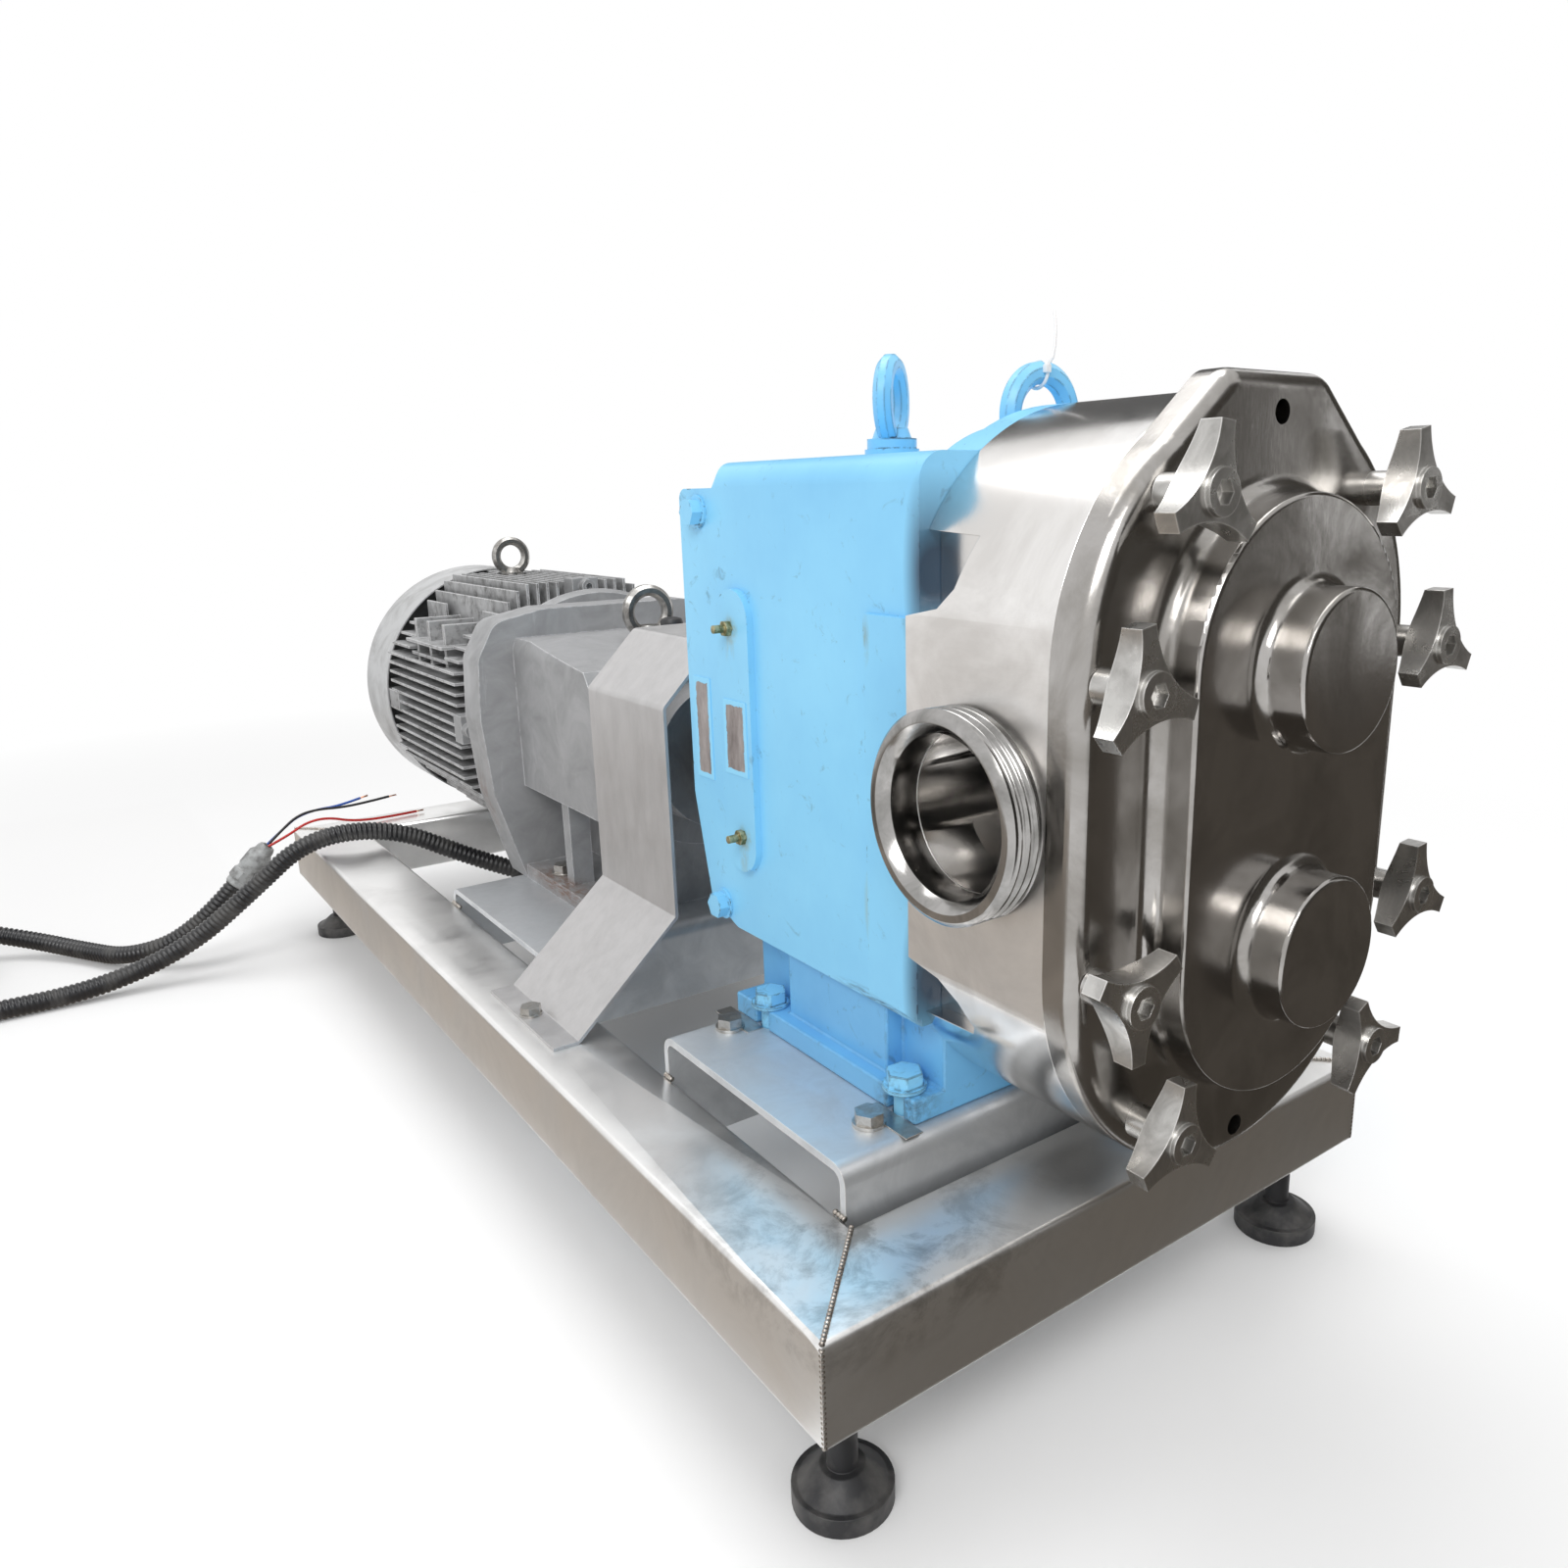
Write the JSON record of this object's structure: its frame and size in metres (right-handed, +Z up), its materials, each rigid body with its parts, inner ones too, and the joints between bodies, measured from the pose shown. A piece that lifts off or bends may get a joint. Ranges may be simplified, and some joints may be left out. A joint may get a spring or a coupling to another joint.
{
  "type": "rotary lobe pump",
  "caption": "Rotary lobe pump on a stainless skid, driven through a guarded coupling by a helical reducer and a finned motor.",
  "frame": {"origin": "on the floor, under the middle of the skid unit without its conduit", "axes": "+Z up, +Y from the pump cover back to the motor, +X to the right of someone facing the cover"},
  "size_m": [1.237, 1.6443, 0.722],
  "materials": {
    "stainless_polished": "ground and polished stainless steel",
    "stainless_cast": "satin cast stainless steel",
    "stainless_machined": "turned stainless steel",
    "skid_stainless": "brushed stainless sheet and tube",
    "channel_steel": "dull bluish grey bent plate",
    "gasket_rubber": "black rubber",
    "blue_paint": "light blue gloss paint, chipped",
    "nipple_steel": "plated steel",
    "gear_steel": "ground gear steel",
    "grey_cast": "grey painted cast iron, rust at the edges",
    "spider_rubber": "red-brown elastomer",
    "motor_aluminium": "grey painted die-cast aluminium",
    "cowl_paint": "silver-grey pressed sheet",
    "fan_plastic": "black moulded plastic",
    "stator_iron": "laminated iron",
    "zinc_steel": "galvanised steel",
    "foot_black": "dark plated steel",
    "conduit_black": "black corrugated conduit",
    "gland_grey": "grey moulded nylon",
    "wire_insulation": "coloured insulation on copper"
  },
  "bodies": {
    "skid": {"case_bolts": "blue_paint", "casing": "stainless_polished", "conduit_coil": "conduit_black", "conduit_feed": "conduit_black", "conduit_gland": "gland_grey", "conduit_return": "conduit_black", "conduit_wires": "wire_insulation", "coupling_guard": "skid_stainless", "cover": "stainless_polished", "cover_gasket": "gasket_rubber", "cover_studs": "stainless_cast", "drive_eyes": "zinc_steel", "fan_cowl": "cowl_paint", "foot_bolts": "blue_paint", "frame_bolts": "zinc_steel", "gear_case": "blue_paint", "gear_cover": "blue_paint", "grease_nipples": "nipple_steel", "levelling_feet": "foot_black", "motor_flange": "motor_aluminium", "motor_frame": "motor_aluminium", "mounting_foot": "blue_paint", "port_left": "stainless_polished", "port_right": "stainless_polished", "pump_channel": "channel_steel", "pump_eyes": "blue_paint", "rail_front": "skid_stainless", "rail_left": "skid_stainless", "rail_rear": "skid_stainless", "rail_right": "skid_stainless", "reducer_bolts": "zinc_steel", "reducer_channel": "channel_steel", "reducer_housing": "grey_cast", "seal_seats": "stainless_machined", "shaft_bearings": "gear_steel", "stator": "stator_iron", "terminal_box": "motor_aluminium"},
    "drive_line": {"drive_shaft": "stainless_machined", "rotor_drive": "stainless_machined", "rotor_nut_drive": "stainless_machined", "timing_gear_drive": "gear_steel", "coupling_hub_pump": "grey_cast", "coupling_spider": "spider_rubber", "coupling_hub_reducer": "grey_cast", "output_shaft": "gear_steel"},
    "driven_line": {"driven_shaft": "stainless_machined", "rotor_driven": "stainless_machined", "rotor_nut_driven": "stainless_machined", "timing_gear_driven": "gear_steel"},
    "counter_line": {"countershaft": "gear_steel"},
    "motor_line": {"motor_shaft": "gear_steel", "fan": "fan_plastic"},
    "nut_1": {"wing_nut_1": "stainless_cast"},
    "nut_2": {"wing_nut_2": "stainless_cast"},
    "nut_3": {"wing_nut_3": "stainless_cast"},
    "nut_4": {"wing_nut_4": "stainless_cast"},
    "nut_5": {"wing_nut_5": "stainless_cast"},
    "nut_6": {"wing_nut_6": "stainless_cast"},
    "nut_7": {"wing_nut_7": "stainless_cast"},
    "nut_8": {"wing_nut_8": "stainless_cast"}
  },
  "joints": [
    {"name": "drive_shaft_spin", "type": "hinge", "parent": "skid", "child": "drive_line", "pos_m": [0.0315, -0.4916, 0.3466], "axis": [0, 1, 0], "continuous": true},
    {"name": "driven_shaft_spin", "type": "hinge", "parent": "skid", "child": "driven_line", "pos_m": [0.0315, -0.4916, 0.5146], "axis": [0, 1, 0], "continuous": true},
    {"name": "countershaft_spin", "type": "hinge", "parent": "skid", "child": "counter_line", "pos_m": [0.0315, 0.1684, 0.4266], "axis": [0, 1, 0], "continuous": true},
    {"name": "motor_spin", "type": "hinge", "parent": "skid", "child": "motor_line", "pos_m": [0.0315, 0.4084, 0.3466], "axis": [0, 1, 0], "continuous": true},
    {"name": "wing_nut_1_turn", "type": "hinge", "parent": "skid", "child": "nut_1", "pos_m": [-0.0677, -0.7096, 0.2478], "axis": [0, 1, 0], "continuous": true},
    {"name": "wing_nut_2_turn", "type": "hinge", "parent": "skid", "child": "nut_2", "pos_m": [-0.0677, -0.7096, 0.6134], "axis": [0, 1, 0], "continuous": true},
    {"name": "wing_nut_3_turn", "type": "hinge", "parent": "skid", "child": "nut_3", "pos_m": [0.1307, -0.7096, 0.2478], "axis": [0, 1, 0], "continuous": true},
    {"name": "wing_nut_4_turn", "type": "hinge", "parent": "skid", "child": "nut_4", "pos_m": [0.1307, -0.7096, 0.6134], "axis": [0, 1, 0], "continuous": true},
    {"name": "wing_nut_5_turn", "type": "hinge", "parent": "skid", "child": "nut_5", "pos_m": [-0.1108, -0.7096, 0.346], "axis": [0, 1, 0], "continuous": true},
    {"name": "wing_nut_6_turn", "type": "hinge", "parent": "skid", "child": "nut_6", "pos_m": [-0.1108, -0.7096, 0.5152], "axis": [0, 1, 0], "continuous": true},
    {"name": "wing_nut_7_turn", "type": "hinge", "parent": "skid", "child": "nut_7", "pos_m": [0.1738, -0.7096, 0.346], "axis": [0, 1, 0], "continuous": true},
    {"name": "wing_nut_8_turn", "type": "hinge", "parent": "skid", "child": "nut_8", "pos_m": [0.1738, -0.7096, 0.5152], "axis": [0, 1, 0], "continuous": true}
  ],
  "couplings": [
    {"joint": "driven_shaft_spin", "follows": "drive_shaft_spin", "ratio": -1},
    {"joint": "countershaft_spin", "follows": "drive_shaft_spin", "ratio": -3.5714},
    {"joint": "motor_spin", "follows": "drive_shaft_spin", "ratio": 9.127}
  ]
}
